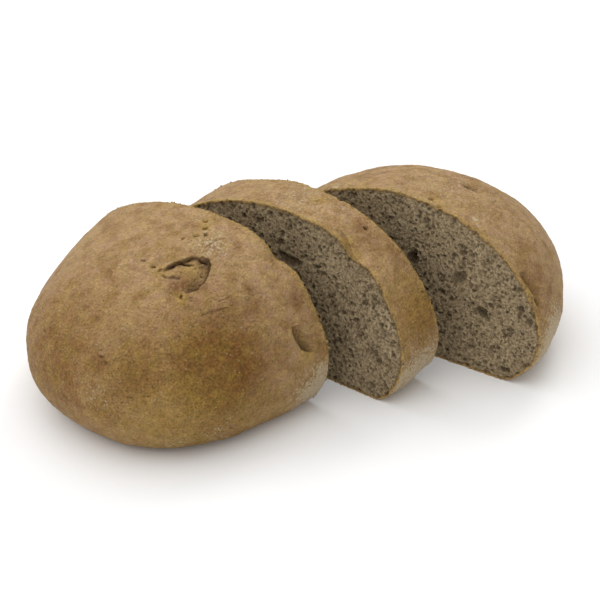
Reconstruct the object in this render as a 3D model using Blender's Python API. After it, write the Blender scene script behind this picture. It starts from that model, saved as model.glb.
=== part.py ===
"""Mixed rye bread: one round-topped loaf, cut twice, its two heels and the slice between them drawn apart.

Metres, +Z up. X runs along the loaf, from the left heel to the right one, and the cut faces look along X.
The origin is on the surface that the bread stands on, under the middle of the three pieces together.
The loaf's own frame, in which its shape is given, has the loaf's highest point over its origin.
"""

import math

import bmesh
import bpy
import numpy as np
from mathutils import Matrix, Vector, noise

# The whole loaf before it was cut
LEFT_LENGTH = 0.1120
RIGHT_LENGTH = 0.0833
HALF_WIDTH = 0.0720
HEIGHT = 0.0813
WIDEST_HEIGHT = 0.0249
UNDERSIDE_SHARE = 0.878
FOOT_ROUNDING = 0.0057
PLAN_POWER = 2.22
DOME_POWER = 2.085
SIDE_POWER = 1.80

# The two cuts across the loaf, and the two pieces drawn forward from the left heel, and turned a little
FIRST_CUT = -0.0256
SECOND_CUT = -0.0008
SLICE_PULL = (0.0203, -0.0272)
SLICE_TURN = math.radians(-1.84)
RIGHT_HEEL_PULL = (0.0383, -0.0664)
RIGHT_HEEL_TURN = math.radians(1.86)

# The middle of the three pieces' common footprint, in the loaf's own frame
GROUP_MIDDLE = (0.0044, -0.0344)

# Swellings and hollows of the risen dough push away from a line at this height along the loaf
DOUGH_CORE_HEIGHT = 0.028
END_PUSH = 0.5
# Name: centre, spread, height (negative is a hollow)
SWELLINGS = {
    "ridge at the first cut": ((-0.0283, -0.0294, 0.0736), 0.0169, 0.0027),
    "ridge lower on the first cut": ((-0.0222, -0.0486, 0.0645), 0.0154, 0.0028),
    "notch in the first cut's rim": ((-0.0257, -0.0432, 0.0676), 0.0042, -0.0025),
    "hollow far on the left heel": ((-0.0528, 0.0327, 0.0676), 0.0155, -0.0014),
    "hollow over the left end": ((-0.0874, 0.0128, 0.0585), 0.0167, -0.0014),
    "belly of the left end": ((-0.1002, -0.0039, 0.0494), 0.0246, 0.0016),
    "hollow low on the left heel": ((-0.0562, -0.0638, 0.0190), 0.0155, -0.0015),
    "belly low on the left heel": ((-0.0891, -0.0465, 0.0193), 0.0227, 0.0017),
    "hollow at the second cut": ((0.0, -0.0619, 0.0527), 0.0190, -0.0009),
    "belly at the second cut": ((0.0, -0.0712, 0.0332), 0.0138, 0.0015),
    "hollow on top of the second cut": ((0.0, -0.0038, 0.0810), 0.0176, -0.0014),
    "belly low on the right heel": ((0.0192, -0.0692, 0.0157), 0.0157, 0.0013),
    "lifted foot of the right heel": ((0.0, -0.0640, 0.0040), 0.0060, -0.0024),
    "hollow on the left heel's far side": ((-0.0585, 0.0417, 0.0611), 0.0150, -0.0011),
    "belly of the far left end": ((-0.0880, 0.0440, 0.0400), 0.0110, 0.0011),
    "hollow low on the left end": ((-0.1105, 0.0055, 0.0176), 0.0100, -0.0008),
    "hollow far on the second cut": ((-0.0040, 0.0280, 0.0760), 0.0130, -0.0013),
    "belly on top of the right heel": ((0.0382, -0.0110, 0.0735), 0.0130, 0.0012),
    "hollow in the right heel's side": ((0.0270, -0.0685, 0.0340), 0.0090, -0.0007),
}
# Soft unevenness over the whole skin
UNEVEN_HEIGHT = 0.0007
UNEVEN_LENGTH = 0.020

# Dents and slits in the crust. Name: centre, direction of the long way, half length, half width, depth
DENTS = {
    "dent in the left heel's side": ((-0.0376, -0.0642, 0.0434), (0.10, -0.45, -0.88), 0.0090, 0.0030, 0.0030),
    "fold in the right heel's rim": ((0.0045, -0.0660, 0.0470), (0.05, -0.55, -0.84), 0.0068, 0.0030, 0.0036),
    "slit on the right heel": ((0.0305, -0.0188, 0.0747), (0.09, -0.97, -0.24), 0.0042, 0.0012, 0.0022),
}
# The patch of torn crust on the left heel: it lies deepest under its upper edge and runs out downhill
TORN_CENTRE = Vector((-0.0590, -0.0211, 0.0690))
TORN_ACROSS = Vector((0.707, -0.707, 0.03))
TORN_DOWN = Vector((-0.62, -0.64, -0.45))
TORN_HALF_WIDTH = 0.0115
TORN_HALF_LENGTH = 0.0088
TORN_EDGE = 0.0015
TORN_DEPTH = 0.0024
TORN_LOW_SHARE = 0.25

# Large pores that a cut opened, each across both of its faces, with its middle a little right of the cut.
# Place on the cut face (Y, Z), half width, half height, reach to each side, tilt in degrees
PORE_OFFSET = 0.0004
FIRST_CUT_PORES = (
    (-0.0094, 0.0548, 0.0062, 0.0027, 0.0034, -12),
    (-0.0092, 0.0720, 0.0016, 0.0013, 0.0018, 0),
    (-0.0489, 0.0468, 0.0040, 0.0011, 0.0016, -42),
    (-0.0552, 0.0405, 0.0040, 0.0011, 0.0016, -50),
)
SECOND_CUT_PORES = (
    (-0.0437, 0.0322, 0.0032, 0.0024, 0.0040, 25),
    (-0.0072, 0.0485, 0.0034, 0.0031, 0.0040, 0),
    (-0.0312, 0.0462, 0.0045, 0.0028, 0.0016, -35),
    (-0.0228, 0.0362, 0.0020, 0.0016, 0.0022, 0),
    (-0.0628, 0.0399, 0.0017, 0.0017, 0.0024, 0),
    (-0.0573, 0.0060, 0.0030, 0.0012, 0.0024, 5),
    (-0.0325, 0.0593, 0.0026, 0.0012, 0.0018, -30),
)

# Fineness of the mesh: cells along an edge of the starting cube, cell size in a dent as a share of its half
# width, and the rounds that halve the cells round a mark
CUBE_CELLS = 22
MARK_CELL = 0.7
MARK_ROUNDS = 3
PROFILE_STEPS = 160
MEAN_REACH = 0.080
UNDERSIDE_FINENESS = 0.4

CRUST_COLOUR = (0.42, 0.27, 0.13)
CRUMB_COLOUR = (0.16, 0.12, 0.075)


def clear_scene():
    for item in list(bpy.data.objects):
        bpy.data.objects.remove(item, do_unlink=True)


def new_collection(name):
    collection = bpy.data.collections.new(name)
    bpy.context.scene.collection.children.link(collection)
    return collection


def new_material(name, colour, roughness):
    material = bpy.data.materials.new(name)
    material.use_nodes = True
    shader = material.node_tree.nodes["Principled BSDF"]
    shader.inputs["Base Color"].default_value = (*colour, 1.0)
    shader.inputs["Roughness"].default_value = roughness
    shader.inputs["Metallic"].default_value = 0.0
    material.diffuse_color = (*colour, 1.0)
    return material


def dome_reach(height):
    """Reach of the dome, as a share of the plan's, at a height above the widest level."""
    rise = (height - WIDEST_HEIGHT) / (HEIGHT - WIDEST_HEIGHT)
    return (1.0 - min(rise, 1.0) ** DOME_POWER) ** (1.0 / SIDE_POWER)


def foot_reach(height):
    """Reach of the side under the widest level, which draws in and ends in a rounded foot."""
    drawn_in = (1.0 - UNDERSIDE_SHARE) * (1.0 - height / WIDEST_HEIGHT) ** 2
    below = max(1.0 - height / FOOT_ROUNDING, 0.0)
    rounding = FOOT_ROUNDING / HALF_WIDTH * (1.0 - math.sqrt(1.0 - below ** 2))
    return 1.0 - drawn_in - rounding


def loaf_profile():
    """Share of the way, reach and height along the skin, from the top's centre to the underside's centre."""
    reaches, heights = [], []
    for step in range(PROFILE_STEPS + 1):
        height = WIDEST_HEIGHT + (HEIGHT - WIDEST_HEIGHT) * math.cos(math.pi / 2 * step / PROFILE_STEPS)
        reaches.append(dome_reach(height))
        heights.append(height)
    for step in range(1, PROFILE_STEPS + 1):
        height = WIDEST_HEIGHT * (1.0 - step / PROFILE_STEPS)
        reaches.append(foot_reach(height))
        heights.append(height)
    way = np.hypot(np.diff(np.array(reaches)) * MEAN_REACH, np.diff(np.array(heights)))
    way = np.concatenate(([0.0], np.cumsum(way)))
    whole_way = way[-1] + UNDERSIDE_FINENESS * reaches[-1] * MEAN_REACH
    return np.append(way, whole_way) / whole_way, np.append(reaches, 0.0), np.append(heights, 0.0)


def plan_reach(turn):
    """Distance from the middle to the loaf's outline, seen from above, in the direction of an angle."""
    length = LEFT_LENGTH if math.cos(turn) < 0 else RIGHT_LENGTH
    along = (abs(math.cos(turn)) / length) ** PLAN_POWER
    across = (abs(math.sin(turn)) / HALF_WIDTH) ** PLAN_POWER
    return (along + across) ** (-1.0 / PLAN_POWER)


def outward(point):
    """Direction in which the dough swells at a point of the skin."""
    return Vector((END_PUSH * point.x, point.y, point.z - DOUGH_CORE_HEIGHT)).normalized()


def swell(point):
    """Height of all swellings at a point, with the soft unevenness of the crust."""
    height = UNEVEN_HEIGHT * noise.noise(point / UNEVEN_LENGTH)
    for centre, spread, rise in SWELLINGS.values():
        distance = (point - Vector(centre)).length
        height += rise * math.exp(-0.5 * (distance / spread) ** 2)
    return height


def dent_depth(point, centre, direction, half_length, half_width, depth):
    """Depth of one long dent: a soft-edged trough round a short line on the skin."""
    offset = point - Vector(centre)
    offset -= offset.project(outward(point))
    along = offset.dot(Vector(direction).normalized())
    aside = math.sqrt(max(offset.length_squared - along ** 2, 0.0))
    return depth * math.exp(-(along / half_length) ** 4 - (aside / half_width) ** 2)


def torn_depth(point):
    """Depth of the torn patch: a sharp step at its upper edge, a slope that runs out at its lower one."""
    offset = point - TORN_CENTRE
    if offset.length > 2 * TORN_HALF_WIDTH:
        return 0.0
    across = offset.dot(TORN_ACROSS.normalized()) / TORN_HALF_WIDTH
    down = offset.dot(TORN_DOWN.normalized()) / TORN_HALF_LENGTH
    inside = (1.0 - math.hypot(across, down)) * TORN_HALF_LENGTH / TORN_EDGE
    step = min(max(inside, 0.0), 1.0)
    low_side = min(max(0.5 + 0.5 * (down - across) / math.sqrt(2), 0.0), 1.0)
    return TORN_DEPTH * step * (1.0 - (1.0 - TORN_LOW_SHARE) * low_side)


def skin_point(direction, profile):
    """Point of the loaf's skin that a direction from its middle stands for."""
    shares, reaches, heights = profile
    share = math.acos(min(max(direction.z, -1.0), 1.0)) / math.pi
    turn = math.atan2(direction.y, direction.x)
    reach = plan_reach(turn) * float(np.interp(share, shares, reaches))
    point = Vector((reach * math.cos(turn), reach * math.sin(turn), float(np.interp(share, shares, heights))))
    on_underside = point.z <= 0.0
    point += swell(point) * outward(point)
    depth = torn_depth(point)
    for dent in DENTS.values():
        depth += dent_depth(point, *dent)
    point -= depth * outward(point)
    if on_underside or point.z < 0.0:
        point.z = 0.0
    return point


def mark_places():
    """Centre, radius and cell size of each mark that needs a finer mesh."""
    places = [(Vector(centre), half_length + half_width, half_width * MARK_CELL)
              for centre, _, half_length, half_width, _ in DENTS.values()]
    places.append((TORN_CENTRE, TORN_HALF_WIDTH + TORN_EDGE, TORN_EDGE))
    return places


def refine(loaf, profile, centre, radius, cell):
    """Halve the edges near a mark, in a few rounds, until they are no longer than its cell size."""
    for _ in range(MARK_ROUNDS):
        near = []
        for edge in loaf.edges:
            start, end = (skin_point(vert.co.normalized(), profile) for vert in edge.verts)
            if (start - end).length > cell and ((start + end) / 2 - centre).length < radius:
                near.append(edge)
        bmesh.ops.subdivide_edges(loaf, edges=near, cuts=1, use_grid_fill=True)


def whole_loaf():
    """The uncut loaf: a cube's cells spread over a ball, refined round the marks, and set on the skin."""
    profile = loaf_profile()
    loaf = bmesh.new()
    bmesh.ops.create_cube(loaf, size=2.0)
    bmesh.ops.subdivide_edges(loaf, edges=loaf.edges[:], cuts=CUBE_CELLS - 1, use_grid_fill=True)
    for vert in loaf.verts:
        vert.co = Vector(math.tan(math.pi / 4 * value) for value in vert.co).normalized()
    for centre, radius, cell in mark_places():
        refine(loaf, profile, centre, radius, cell)
    for vert in loaf.verts:
        vert.co = skin_point(vert.co.normalized(), profile)
    return loaf


def cut_off(piece, place, keep_side):
    """Cut a piece across X and close it with a flat face of crumb. keep_side is -1 for the left, 1 for the right."""
    geometry = piece.verts[:] + piece.edges[:] + piece.faces[:]
    cut = bmesh.ops.bisect_plane(piece, geom=geometry, dist=1e-6, plane_co=(place, 0, 0),
                                 plane_no=(-keep_side, 0, 0), clear_outer=True)
    rim = [item for item in cut["geom_cut"] if isinstance(item, bmesh.types.BMEdge)]
    for face in bmesh.ops.contextual_create(piece, geom=rim)["faces"]:
        face.material_index = 1
        face.smooth = False


def mesh_object(name, shape, materials, collection):
    mesh = bpy.data.meshes.new(name)
    bmesh.ops.recalc_face_normals(shape, faces=shape.faces[:])
    shape.to_mesh(mesh)
    shape.free()
    for material in materials:
        mesh.materials.append(material)
    item = bpy.data.objects.new(name, mesh)
    collection.objects.link(item)
    return item


def pore_cutter(name, pores, cut_place, pivot, materials, collection):
    """The large pores at one cut, as flattened balls that lie across it."""
    shape = bmesh.new()
    for along_y, height, half_width, half_height, reach, tilt in pores:
        matrix = (Matrix.Translation((cut_place + PORE_OFFSET - pivot, along_y, height))
                  @ Matrix.Rotation(math.radians(tilt), 4, "X")
                  @ Matrix.Diagonal((reach, half_width, half_height, 1.0)))
        bmesh.ops.create_icosphere(shape, subdivisions=2, radius=1.0, matrix=matrix)
    for face in shape.faces:
        face.material_index = 1
    cutter = mesh_object(name, shape, materials, collection)
    cutter.hide_render = True
    cutter.display_type = "WIRE"
    return cutter


def place_piece(item, pivot, pull, turn, loaf_frame):
    """Set a piece, drawn round its pivot on the X axis, where it lies beside the others."""
    item.parent = loaf_frame
    item.location = (pivot + pull[0], pull[1], 0.0)
    item.rotation_euler = (0.0, 0.0, turn)


def make_piece(name, loaf, cuts, pivot, pull, turn, materials, bread, cutters, loaf_frame):
    """One piece of the loaf. cuts lists each cut's place, the side of it that stays, and its large pores."""
    shape = loaf.copy()
    for place, keep_side, _ in cuts:
        cut_off(shape, place, keep_side)
    bmesh.ops.translate(shape, verts=shape.verts[:], vec=(-pivot, 0, 0))
    piece = mesh_object(name, shape, materials, bread)
    place_piece(piece, pivot, pull, turn, loaf_frame)
    for number, (place, _, pores) in enumerate(cuts, start=1):
        cutter = pore_cutter(f"{name}_pores_{number}", pores, place, pivot, materials, cutters)
        place_piece(cutter, pivot, pull, turn, loaf_frame)
        hollow = piece.modifiers.new(f"pores {number}", "BOOLEAN")
        hollow.operation = "DIFFERENCE"
        hollow.solver = "EXACT"
        hollow.object = cutter
    return piece


clear_scene()
bread_collection = new_collection("mixed_rye_bread")
cutter_collection = new_collection("cutters")
frame_empty = bpy.data.objects.new("loaf_frame", None)
frame_empty.location = (-GROUP_MIDDLE[0], -GROUP_MIDDLE[1], 0.0)
bread_collection.objects.link(frame_empty)

crumb = new_material("rye_crumb", CRUMB_COLOUR, 0.95)
uncut_loaf = whole_loaf()
make_piece("left_heel", uncut_loaf, [(FIRST_CUT, -1, FIRST_CUT_PORES)],
           0.0, (0.0, 0.0), 0.0,
           (new_material("left_heel_crust", CRUST_COLOUR, 0.85), crumb),
           bread_collection, cutter_collection, frame_empty)
make_piece("middle_slice", uncut_loaf, [(FIRST_CUT, 1, FIRST_CUT_PORES), (SECOND_CUT, -1, SECOND_CUT_PORES)],
           (FIRST_CUT + SECOND_CUT) / 2, SLICE_PULL, SLICE_TURN,
           (new_material("middle_slice_crust", CRUST_COLOUR, 0.85), crumb),
           bread_collection, cutter_collection, frame_empty)
make_piece("right_heel", uncut_loaf, [(SECOND_CUT, 1, SECOND_CUT_PORES)],
           SECOND_CUT, RIGHT_HEEL_PULL, RIGHT_HEEL_TURN,
           (new_material("right_heel_crust", CRUST_COLOUR, 0.85), crumb),
           bread_collection, cutter_collection, frame_empty)
uncut_loaf.free()
bpy.context.view_layer.update()
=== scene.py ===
# Mixed rye bread: one loaf cut twice, its two heels and the slice between them drawn apart.
# Metres, +Z up. X runs along the loaf, so the cut faces look along X, and the bread stands on Z = 0.
import math

import bmesh
import bpy
import numpy as np
from mathutils import Matrix, Vector, kdtree, noise


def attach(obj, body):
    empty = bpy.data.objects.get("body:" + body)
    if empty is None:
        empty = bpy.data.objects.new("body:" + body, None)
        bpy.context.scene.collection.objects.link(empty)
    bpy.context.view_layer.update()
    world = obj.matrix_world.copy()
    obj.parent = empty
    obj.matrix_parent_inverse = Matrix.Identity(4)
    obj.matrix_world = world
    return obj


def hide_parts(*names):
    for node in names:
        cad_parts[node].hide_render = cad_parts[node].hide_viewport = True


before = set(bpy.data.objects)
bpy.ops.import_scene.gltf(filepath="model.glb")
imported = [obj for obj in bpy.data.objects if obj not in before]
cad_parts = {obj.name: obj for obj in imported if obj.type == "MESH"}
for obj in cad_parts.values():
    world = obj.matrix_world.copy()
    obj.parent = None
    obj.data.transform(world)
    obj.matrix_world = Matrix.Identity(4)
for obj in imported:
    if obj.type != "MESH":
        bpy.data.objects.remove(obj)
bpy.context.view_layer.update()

# The dough: a free-standing oval loaf, round on top and flat where it lay on the oven's floor.
# Its skin follows a dome over the widest level and a drawn-in foot under it. These sizes and places
# are in the loaf's own frame, which has the loaf's highest point over its origin.
LEFT_LENGTH = 0.112
RIGHT_LENGTH = 0.0833
HALF_WIDTH = 0.072
HEIGHT = 0.0813
WIDEST_HEIGHT = 0.0249
UNDERSIDE_SHARE = 0.878
FOOT_ROUNDING = 0.0057
PLAN_POWER = 2.22
DOME_POWER = 2.085
SIDE_POWER = 1.8
PROFILE_STEPS = 400
MEAN_REACH = 0.08
UNDERSIDE_FINENESS = 0.45

DOUGH_CORE_HEIGHT = 0.028
END_PUSH = 0.5
SWELLINGS = {
    "ridge at the first cut": ((-0.0283, -0.0294, 0.0736), 0.0169, 0.0027),
    "ridge lower on the first cut": ((-0.0222, -0.0486, 0.0645), 0.0154, 0.0028),
    "notch in the first cut's rim": ((-0.0257, -0.0432, 0.0676), 0.0042, -0.0025),
    "hollow far on the left heel": ((-0.0528, 0.0327, 0.0676), 0.0155, -0.0014),
    "hollow over the left end": ((-0.0874, 0.0128, 0.0585), 0.0167, -0.0014),
    "belly of the left end": ((-0.1002, -0.0039, 0.0494), 0.0246, 0.0016),
    "hollow low on the left heel": ((-0.0562, -0.0638, 0.019), 0.0155, -0.0015),
    "belly low on the left heel": ((-0.0891, -0.0465, 0.0193), 0.0227, 0.0017),
    "hollow at the second cut": ((0.0, -0.0619, 0.0527), 0.019, -0.0009),
    "belly at the second cut": ((0.0, -0.0712, 0.0332), 0.0138, 0.0015),
    "hollow on top of the second cut": ((0.0, -0.0038, 0.081), 0.0176, -0.0014),
    "belly low on the right heel": ((0.0192, -0.0692, 0.0157), 0.0157, 0.0013),
    "lifted foot of the right heel": ((0.0, -0.064, 0.004), 0.006, -0.0024),
    "hollow on the left heel's far side": ((-0.0585, 0.0417, 0.0611), 0.015, -0.0011),
    "belly of the far left end": ((-0.088, 0.044, 0.04), 0.011, 0.0011),
    "hollow low on the left end": ((-0.1105, 0.0055, 0.0176), 0.01, -0.0008),
    "hollow far on the second cut": ((-0.004, 0.028, 0.076), 0.013, -0.0013),
    "belly on top of the right heel": ((0.0382, -0.011, 0.0735), 0.013, 0.0012),
    "hollow in the right heel's side": ((0.027, -0.0685, 0.034), 0.009, -0.0007),
}
UNEVEN_HEIGHT = 0.0007
UNEVEN_LENGTH = 0.02


def dough_profile():
    """Share of the way, reach and height along the skin, from the top's centre to the underside's."""
    fall = np.linspace(0.0, math.pi / 2, PROFILE_STEPS)
    rise = np.cos(fall)
    dome = (1.0 - rise ** DOME_POWER) ** (1.0 / SIDE_POWER)
    height = WIDEST_HEIGHT * np.linspace(1.0, 0.0, PROFILE_STEPS)[1:]
    below = np.clip(1.0 - height / FOOT_ROUNDING, 0.0, 1.0)
    foot = 1.0 - (1.0 - UNDERSIDE_SHARE) * (1.0 - height / WIDEST_HEIGHT) ** 2
    foot -= FOOT_ROUNDING / HALF_WIDTH * (1.0 - np.sqrt(1.0 - below ** 2))
    reaches = np.concatenate([dome, foot])
    heights = np.concatenate([WIDEST_HEIGHT + (HEIGHT - WIDEST_HEIGHT) * rise, height])
    way = np.cumsum(np.hypot(np.diff(reaches) * MEAN_REACH, np.diff(heights)))
    way = np.concatenate([[0.0], way, [way[-1] + UNDERSIDE_FINENESS * reaches[-1] * MEAN_REACH]])
    return way / way[-1], np.append(reaches, 0.0), np.append(heights, 0.0)


def dough_skin(directions):
    """Points of the smooth dough that directions from its middle stand for."""
    shares, reaches, heights = dough_profile()
    share = np.arccos(np.clip(directions[:, 2], -1.0, 1.0)) / math.pi
    turn = np.arctan2(directions[:, 1], directions[:, 0])
    length = np.where(np.cos(turn) < 0, LEFT_LENGTH, RIGHT_LENGTH)
    along = (np.abs(np.cos(turn)) / length) ** PLAN_POWER
    across = (np.abs(np.sin(turn)) / HALF_WIDTH) ** PLAN_POWER
    reach = (along + across) ** (-1.0 / PLAN_POWER) * np.interp(share, shares, reaches)
    height = np.interp(share, shares, heights)
    return np.stack([reach * np.cos(turn), reach * np.sin(turn), height], axis=1)


def outward(points):
    """Direction in which the dough swells at each point of the skin."""
    push = (points - (0.0, 0.0, DOUGH_CORE_HEIGHT)) * (END_PUSH, 1.0, 1.0)
    return push / np.linalg.norm(push, axis=1, keepdims=True)


def unevenness(points, length, octaves=1):
    """Smooth noise at each point, from about -1 to 1, with lumps of about the given length."""
    return np.array([noise.fractal(Vector(point), 1.0, 2.0, octaves) for point in points / length])


def swelling(points):
    height = UNEVEN_HEIGHT * np.array([noise.noise(Vector(point)) for point in points / UNEVEN_LENGTH])
    for centre, spread, rise in SWELLINGS.values():
        distance = np.linalg.norm(points - centre, axis=1)
        height += rise * np.exp(-0.5 * (distance / spread) ** 2)
    return height


# The crust: thin, dry and floury, with a torn patch on top of the left heel, folds where the dough
# closed on itself, short slits and pits, and a fine grain. All of it is relief of the baked skin,
# pressed into the mesh before the loaf is cut.

# Soft dents and pits: centre, direction, half length, half width and depth
DENTS = {
    "slit on the right heel": ((0.03, -0.0198, 0.0755), (0.27, -0.93, -0.27), 0.0044, 0.0022, 0.0034),
    "slit on the left end": ((-0.0995, 0.0248, 0.0443), (0.3, 0.1, -0.95), 0.0021, 0.0006, 0.0014),
    "slit over it": ((-0.0969, 0.0234, 0.048), (0.45, -0.1, -0.85), 0.0014, 0.0004, 0.0007),
    "slit over the flour": ((-0.1022, -0.0105, 0.0467), (-0.1, -0.95, 0.1), 0.0015, 0.0005, 0.001),
    "slit beside it": ((-0.1027, -0.0133, 0.0454), (-0.1, -0.95, -0.2), 0.001, 0.0004, 0.0008),
    "crack low on the left end": ((-0.1042, -0.0268, 0.0346), (0.3, -0.95, 0.05), 0.0022, 0.0004, 0.0008),
    "crack after it": ((-0.1006, -0.0324, 0.0354), (0.45, -0.88, -0.05), 0.0016, 0.0004, 0.0007),
    "pit low on the left heel": ((-0.0821, -0.052, 0.0305), (0.8, -0.6, 0.0), 0.0007, 0.0005, 0.0007),
    "pit in the foot": ((-0.0747, -0.0541, 0.013), (0.5, -0.5, -0.7), 0.0012, 0.0006, 0.0009),
    "first blister": ((-0.032, -0.0098, 0.0778), (0.6, -0.8, 0.0), 0.0011, 0.0008, 0.0011),
    "second blister": ((-0.0358, -0.0126, 0.0768), (0.8, -0.5, 0.0), 0.0012, 0.0006, 0.0013),
    "third blister": ((-0.0386, -0.0152, 0.0759), (0.8, -0.6, 0.0), 0.0009, 0.0008, 0.002),
    "fourth blister": ((-0.0413, -0.0126, 0.0757), (0.75, -0.65, 0.0), 0.0022, 0.0006, 0.001),
    "fifth blister": ((-0.0455, -0.0082, 0.0752), (0.7, -0.7, 0.0), 0.0009, 0.0006, 0.0013),
    "nick beside the tear": ((-0.063, -0.0002, 0.0704), (0.45, -0.85, 0.0), 0.0016, 0.0005, 0.0012),
    "nick at the tear": ((-0.0642, -0.0069, 0.0699), (0.4, -0.9, 0.1), 0.0011, 0.0005, 0.0013),
    "second nick at the tear": ((-0.0643, -0.0107, 0.0696), (0.8, -0.3, 0.3), 0.001, 0.0005, 0.0011),
    "third nick at the tear": ((-0.0659, -0.0143, 0.0684), (-0.1, -0.9, -0.2), 0.0016, 0.0006, 0.0013),
    "slit under the tear": ((-0.0693, -0.026, 0.0643), (-0.8, -0.35, -0.45), 0.0012, 0.0005, 0.0016),
    "hole in the slice's crust": ((-0.0081, -0.0367, 0.0722), (0.6, -0.75, -0.3), 0.0011, 0.0009, 0.002),
    "blister on the slice": ((-0.0093, -0.0124, 0.0798), (0.8, -0.6, 0.0), 0.0018, 0.0007, 0.001),
    "nick in the slice's far rim": ((-0.0027, -0.0653, 0.0483), (0.9, -0.3, -0.3), 0.0014, 0.0006, 0.001),
    "blister on the right heel": ((0.0043, -0.0129, 0.08), (0.8, -0.6, 0.0), 0.0014, 0.0011, 0.0022),
    "pocket of the fold": ((0.0046, -0.0676, 0.0442), (0.1, -0.47, -0.88), 0.0044, 0.0018, 0.0023),
    "notch in the heel's rim": ((0.0001, -0.019, 0.0789), (0.8, -0.6, -0.1), 0.0022, 0.0012, 0.0012),
    "pit beside the fold": ((0.0187, -0.0678, 0.0407), (0.3, -0.2, -0.9), 0.0008, 0.0006, 0.0009),
    "crease over the slit": ((0.0285, -0.0103, 0.0766), (0.75, -0.65, -0.1), 0.003, 0.0006, 0.0008),
    "ring beside the slit": ((0.0305, -0.0316, 0.0709), (0.9, -0.3, -0.2), 0.0018, 0.0006, 0.0006),
}
# Narrow cracks: a line of points, half width and depth
CRACKS = {
    "main crack of the tear": (
        ((-0.064, -0.0118, 0.0693), (-0.0611, -0.0128, 0.0702), (-0.0577, -0.0141, 0.0711),
         (-0.0562, -0.0156, 0.0715), (-0.0559, -0.0175, 0.0713), (-0.0553, -0.0191, 0.0711),
         (-0.0538, -0.0213, 0.0711)), 0.0006, 0.002),
    "upper crack of the tear": (
        ((-0.0562, -0.0152, 0.0716), (-0.054, -0.0171, 0.0719), (-0.052, -0.0181, 0.0721),
         (-0.0509, -0.0203, 0.072), (-0.0507, -0.0219, 0.0716), (-0.0485, -0.0254, 0.0713)),
        0.0005, 0.0014),
    "inner fold of the tear": (
        ((-0.0657, -0.0156, 0.068), (-0.0644, -0.0171, 0.0685), (-0.0637, -0.0184, 0.0686),
         (-0.0629, -0.0208, 0.0683)), 0.0008, 0.0011),
    "swirl beside the tear": (
        ((-0.0474, -0.0407, 0.0651), (-0.047, -0.0435, 0.0635), (-0.0482, -0.0459, 0.0615),
         (-0.0517, -0.047, 0.0597)), 0.0009, 0.0004),
    "wrinkle under the tear": (
        ((-0.0709, -0.0361, 0.0592), (-0.0662, -0.0387, 0.0597), (-0.0615, -0.0413, 0.0601),
         (-0.0583, -0.0436, 0.0598)), 0.00045, 0.0005),
    "shorter wrinkle": (
        ((-0.0615, -0.0383, 0.062), (-0.0552, -0.0408, 0.0627)), 0.0004, 0.0004),
    "wrinkle over the tear": (
        ((-0.0458, -0.0198, 0.0735), (-0.0392, -0.0207, 0.0746), (-0.0346, -0.0241, 0.0746)),
        0.0005, 0.0004),
    "foot of the tear": (
        ((-0.0614, -0.0296, 0.066), (-0.0631, -0.0285, 0.0658), (-0.0645, -0.0275, 0.0657),
         (-0.0665, -0.0262, 0.0652)), 0.0007, 0.0019),
}
# One-sided folds: a line of points with its low side on the right as seen from outside, width of the
# step, how far the low side runs out, its depth and the height of the lip on the other side
FOLDS = {
    "upper edge of the tear": (
        ((-0.0643, -0.0119, 0.0692), (-0.0596, -0.0132, 0.0707), (-0.0562, -0.0152, 0.0716),
         (-0.052, -0.0181, 0.0721), (-0.0505, -0.0215, 0.0718), (-0.0482, -0.0248, 0.0717)),
        0.0006, 0.005, 0.0019, 0.0004),
    "lower edge of the tear": (
        ((-0.0488, -0.0212, 0.0722), (-0.0484, -0.0245, 0.0716), (-0.0498, -0.0268, 0.0706),
         (-0.054, -0.0288, 0.0688), (-0.0583, -0.0298, 0.067), (-0.0623, -0.029, 0.0659),
         (-0.0648, -0.0273, 0.0656), (-0.0672, -0.0255, 0.0652)), 0.0008, 0.005, 0.0038, 0.0003),
    "fold in the side": (
        ((-0.0338, -0.0686, 0.0338), (-0.0378, -0.0675, 0.0359), (-0.0398, -0.0666, 0.0375),
         (-0.0407, -0.0653, 0.0403), (-0.0413, -0.0643, 0.0424), (-0.0416, -0.0634, 0.0443),
         (-0.0413, -0.0625, 0.046), (-0.0405, -0.0614, 0.048)), 0.0011, 0.0058, 0.0046, 0.0006),
    "fold in the rim": (
        ((0.0058, -0.0675, 0.0441), (0.0036, -0.066, 0.0468), (0.002, -0.0643, 0.0498),
         (0.0014, -0.0626, 0.0522), (0.0014, -0.0609, 0.0543), (0.0018, -0.059, 0.0562)),
        0.0012, 0.0042, 0.005, 0.001),
    "torn rim of the slice": (
        ((-0.02, -0.0305, 0.0742), (-0.021, -0.034, 0.0729), (-0.0218, -0.0363, 0.0717),
         (-0.0235, -0.0391, 0.07), (-0.0244, -0.042, 0.0684), (-0.0249, -0.045, 0.0665)),
        0.001, 0.004, 0.0016, 0.0003),
}
LINE_TAPER = 0.22
# At a corner of a line the stretch that a point lies more squarely beside counts as the nearer one
SQUARE_BIAS = 0.01
# Soft lumps and fine grain of the crust: length and height
CRUST_LUMPS = (0.0085, 0.00035)
CRUST_GRAIN = (0.0024, 0.0002)
DOUGH_CELLS = 116
# Reach round a mark in which the mesh is halved, round by round
MARK_REACHES = (0.0028, 0.001)


def along_skin(offset, normals):
    """The part of each offset that lies in the skin."""
    return offset - (offset * normals).sum(axis=1)[:, None] * normals


def dent_depth(points, normals, centre, direction, half_length, half_width, depth):
    """Depth of one long dent: a soft-edged trough round a short line."""
    offset = along_skin(points - centre, normals)
    along = offset @ np.array(Vector(direction).normalized())
    aside = np.sqrt(np.maximum((offset ** 2).sum(axis=1) - along ** 2, 0.0))
    return depth * np.exp(-(along / half_length) ** 4 - (aside / half_width) ** 2)


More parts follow.
